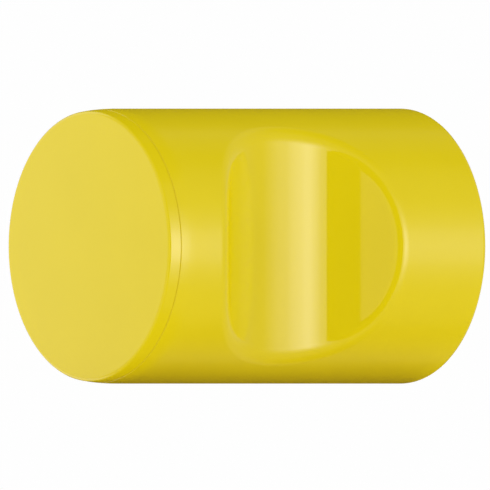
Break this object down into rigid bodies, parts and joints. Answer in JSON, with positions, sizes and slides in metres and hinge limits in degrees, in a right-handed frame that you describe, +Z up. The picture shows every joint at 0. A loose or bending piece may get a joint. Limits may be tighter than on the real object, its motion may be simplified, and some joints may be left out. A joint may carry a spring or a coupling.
{
  "type": "furniture knob",
  "caption": "Cylindrical cupboard or drawer knob with a finger recess on each side, a snap-in front cap and a threaded insert in its back.",
  "frame": {"origin": "centre of the back face, on the knob's axis, where the fixing screw enters", "axes": "+Y along the knob's axis, from its front cap to its back face and on into the door or drawer front; +Z up; the finger recesses open towards +X and -X"},
  "size_m": [0.025, 0.036, 0.025],
  "materials": {
    "polyamide": "through-coloured mustard yellow moulded polyamide, glossy",
    "brass": "bare machined brass"
  },
  "bodies": {
    "root": {"knob_body": "polyamide", "front_cap": "polyamide", "threaded_insert": "brass"}
  },
  "joints": []
}
